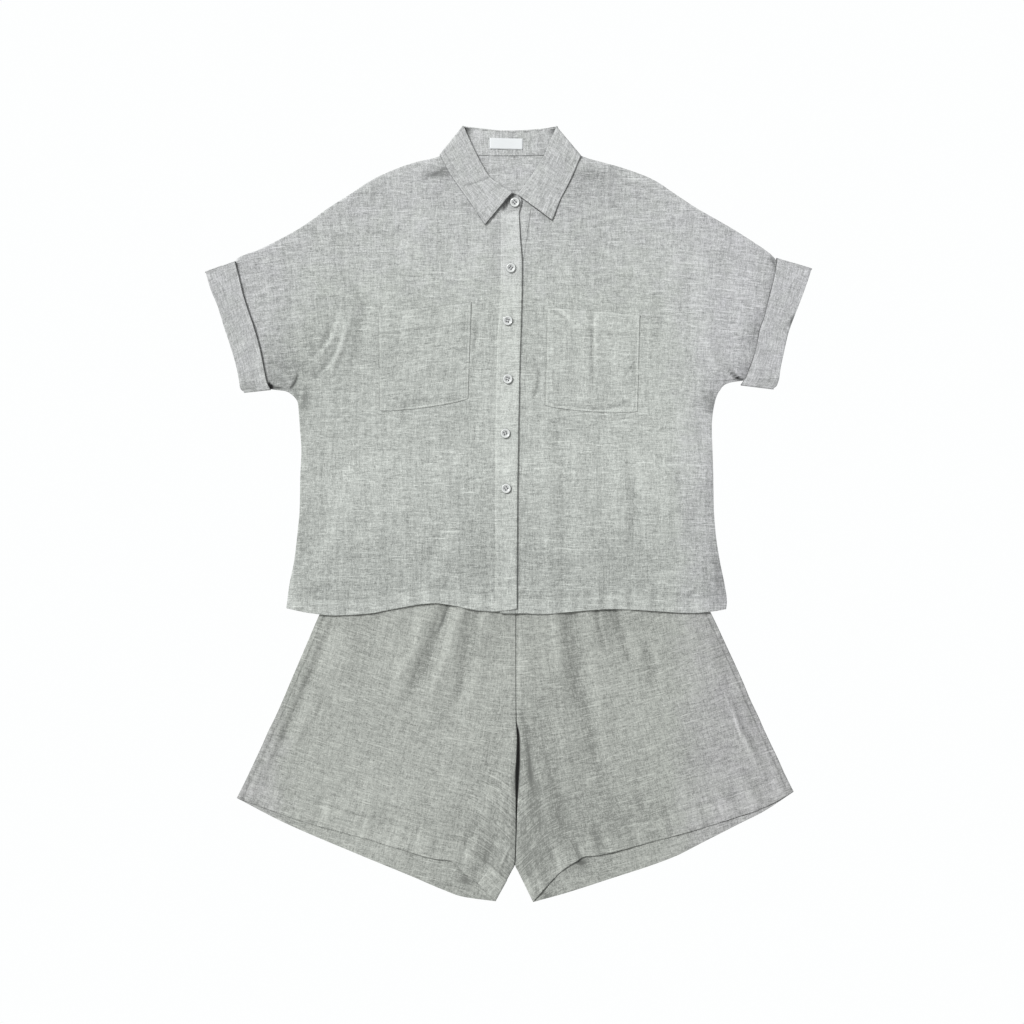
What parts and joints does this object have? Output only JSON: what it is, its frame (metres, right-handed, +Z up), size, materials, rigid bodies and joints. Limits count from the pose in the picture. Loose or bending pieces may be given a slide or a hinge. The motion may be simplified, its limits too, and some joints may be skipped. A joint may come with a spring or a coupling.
{
  "type": "button-up shirt and wide-leg shorts set, laid flat",
  "caption": "Flat-laid linen set: short-sleeved collared shirt with turned-up cuffs and chest pockets, its hem over the top of wide-leg shorts with an elastic waist.",
  "frame": {"origin": "centre of the laid set's outline, on the surface it lies on", "axes": "+Y towards the collar, +X towards the wearer's left, +Z up, out of the surface"},
  "size_m": [0.7691, 0.9859, 0.0119],
  "materials": {
    "shirt_linen": "plain-woven grey-green chambray linen with slubs, soft and matte",
    "shorts_linen": "the same plain-woven linen, a shade darker and warmer, matte",
    "button_shell": "pale shell-like polyester, polished",
    "label_ribbon": "white woven satin ribbon, blank"
  },
  "bodies": {
    "root": {"shirt_back": "shirt_linen", "shirt_front_right": "shirt_linen", "shirt_front_left": "shirt_linen", "placket": "shirt_linen", "button_stand": "shirt_linen", "collar_stand": "shirt_linen", "collar_leaf": "shirt_linen", "pocket_right": "shirt_linen", "pocket_left": "shirt_linen", "cuff_right": "shirt_linen", "cuff_left": "shirt_linen", "neck_label": "label_ribbon", "button_collar": "button_shell", "button_1": "button_shell", "button_2": "button_shell", "button_3": "button_shell", "button_4": "button_shell", "button_5": "button_shell", "shorts_front_right": "shorts_linen", "shorts_front_left": "shorts_linen", "shorts_back_right": "shorts_linen", "shorts_back_left": "shorts_linen", "waistband": "shorts_linen"}
  },
  "joints": []
}
